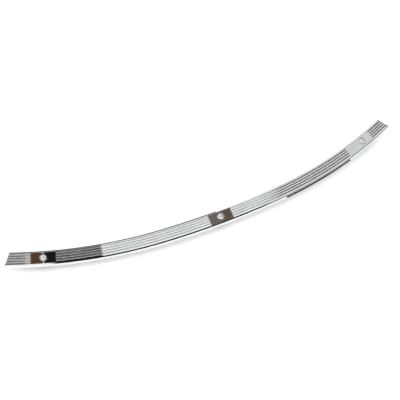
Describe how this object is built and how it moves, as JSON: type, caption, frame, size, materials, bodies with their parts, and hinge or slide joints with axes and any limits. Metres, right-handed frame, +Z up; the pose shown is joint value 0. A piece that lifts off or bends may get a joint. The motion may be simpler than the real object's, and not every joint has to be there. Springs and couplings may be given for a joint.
{
  "type": "windshield trim strip",
  "caption": "Slim bowed chrome trim strip with lengthwise grooves and plain islands, held to a fairing by button head screws in rubber well nuts.",
  "frame": {"origin": "the middle screw hole's axis on the bar's rear face", "axes": "+X along the bar towards its right end, +Y rearwards into the fairing, +Z up"},
  "size_m": [0.6398, 0.0785, 0.0256],
  "materials": {
    "chrome_bar": "mirror polished chrome plate",
    "screw_steel": "polished stainless steel",
    "nylon": "natural nylon",
    "spacer_rubber": "moulded",
    "nut_rubber": "moulded neoprene",
    "insert_brass": "turned",
    "foam": "closed cell foam"
  },
  "bodies": {
    "trim": {"trim_bar": "chrome_bar", "spacer_left": "spacer_rubber", "spacer_centre": "spacer_rubber", "spacer_right": "spacer_rubber", "nut_sleeve_left": "nut_rubber", "nut_sleeve_centre": "nut_rubber", "nut_sleeve_right": "nut_rubber", "nut_insert_left": "insert_brass", "nut_insert_centre": "insert_brass", "nut_insert_right": "insert_brass", "foam_left_outer": "foam", "foam_left_inner": "foam", "foam_right_inner": "foam", "foam_right_outer": "foam"},
    "washer_left": {"head_washer_left": "nylon"},
    "screw_left": {"screw_left": "screw_steel"},
    "washer_centre": {"head_washer_centre": "nylon"},
    "screw_centre": {"screw_centre": "screw_steel"},
    "washer_right": {"head_washer_right": "nylon"},
    "screw_right": {"screw_right": "screw_steel"}
  },
  "joints": [
    {"name": "screw_left_travel", "type": "slide", "parent": "trim", "child": "washer_left", "axis": [-0.1488, -0.4123, 0.8988], "range_m": [0, 0.006]},
    {"name": "screw_left_turn", "type": "hinge", "parent": "washer_left", "child": "screw_left", "pos_m": [-0.2638, 0.0385, 0.00377], "axis": [-0.1488, -0.4123, 0.8988], "range_deg": [0, 2700]},
    {"name": "screw_centre_travel", "type": "slide", "parent": "trim", "child": "washer_centre", "axis": [0, -0.4384, 0.8988], "range_m": [0, 0.006]},
    {"name": "screw_centre_turn", "type": "hinge", "parent": "washer_centre", "child": "screw_centre", "pos_m": [0, -0.00184, 0.00377], "axis": [0, -0.4384, 0.8988], "range_deg": [0, 2700]},
    {"name": "screw_right_travel", "type": "slide", "parent": "trim", "child": "washer_right", "axis": [0.1488, -0.4123, 0.8988], "range_m": [0, 0.006]},
    {"name": "screw_right_turn", "type": "hinge", "parent": "washer_right", "child": "screw_right", "pos_m": [0.2638, 0.0385, 0.00377], "axis": [0.1488, -0.4123, 0.8988], "range_deg": [0, 2700]}
  ],
  "couplings": [
    {"joint": "screw_left_turn", "follows": "screw_left_travel", "rad_per_m": 7853.9},
    {"joint": "screw_centre_turn", "follows": "screw_centre_travel", "rad_per_m": 7853.9},
    {"joint": "screw_right_turn", "follows": "screw_right_travel", "rad_per_m": 7853.9}
  ]
}
